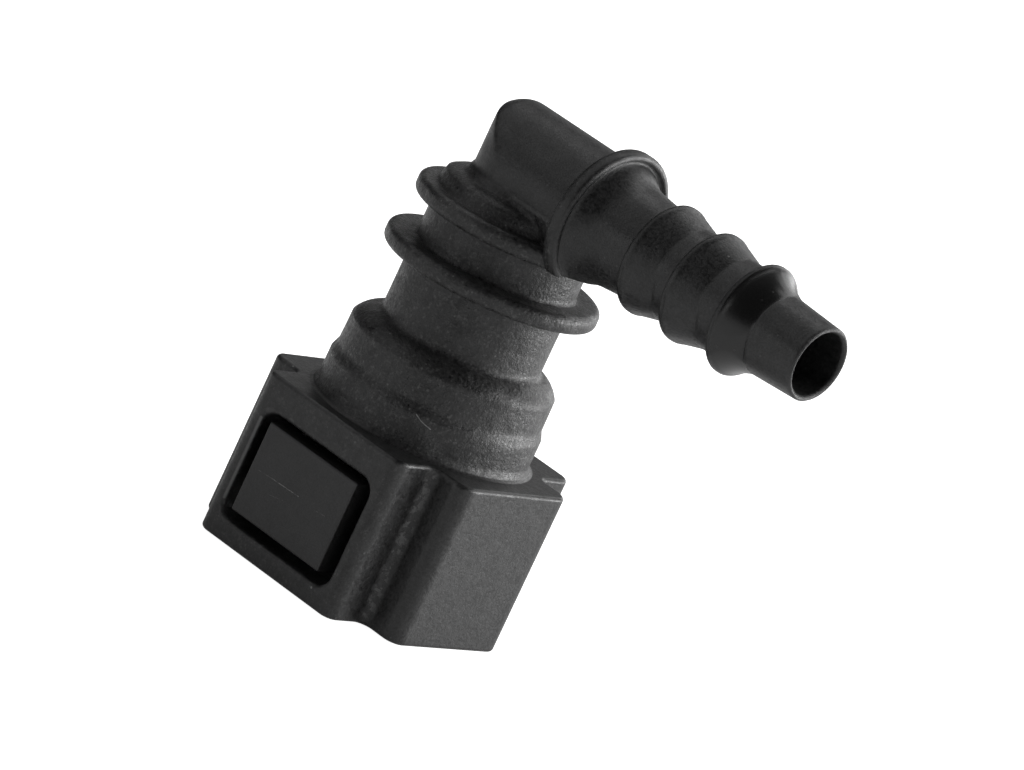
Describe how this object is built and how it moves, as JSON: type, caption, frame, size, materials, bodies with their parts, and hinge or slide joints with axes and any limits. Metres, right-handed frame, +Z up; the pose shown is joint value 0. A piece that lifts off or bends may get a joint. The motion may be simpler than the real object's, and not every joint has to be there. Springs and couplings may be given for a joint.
{
  "type": "quick disconnect coupling",
  "caption": "Right-angle plastic push-on coupling for a fluid tube, with squeeze-button release in windowed faces, locating flanges and a ribbed hose stem.",
  "frame": {"origin": "centre of the mouth face that the tube enters; the part stands on this face", "axes": "+Z up along the tube axis, away from the mouth; +X along the hose stem, towards its tip; the squeeze buttons are on the -Y and +Y faces"},
  "size_m": [0.0391, 0.0206, 0.0385],
  "materials": {
    "body_plastic": "fine mottled moulded surface, slight sheen",
    "retainer_plastic": "smoother moulded surface",
    "inner_plastic": "smooth moulded",
    "seal_rubber": "moulded rubber"
  },
  "bodies": {
    "body": {"housing": "body_plastic", "seal_retaining_bush": "inner_plastic", "seal_spacer_ring": "inner_plastic", "seal_ring_lower": "seal_rubber", "seal_ring_upper": "seal_rubber"},
    "front_button": {"button_front": "retainer_plastic"},
    "rear_button": {"button_rear": "retainer_plastic"},
    "left_jaw": {"jaw_left": "retainer_plastic"},
    "right_jaw": {"jaw_right": "retainer_plastic"}
  },
  "joints": [
    {"name": "front_button_press", "type": "slide", "parent": "body", "child": "front_button", "axis": [0, 1, 0], "range_m": [0, 0.0013], "stiffness_N_per_m": 5000, "springref_m": -0.0004},
    {"name": "rear_button_press", "type": "slide", "parent": "body", "child": "rear_button", "axis": [0, -1, 0], "range_m": [0, 0.0013]},
    {"name": "left_jaw_spread", "type": "slide", "parent": "body", "child": "left_jaw", "axis": [-1, 0, 0], "range_m": [0, 0.0013]},
    {"name": "right_jaw_spread", "type": "slide", "parent": "body", "child": "right_jaw", "axis": [1, 0, 0], "range_m": [0, 0.0013]}
  ],
  "couplings": [
    {"joint": "rear_button_press", "follows": "front_button_press", "ratio": 1},
    {"joint": "left_jaw_spread", "follows": "front_button_press", "ratio": 1},
    {"joint": "right_jaw_spread", "follows": "front_button_press", "ratio": 1}
  ]
}
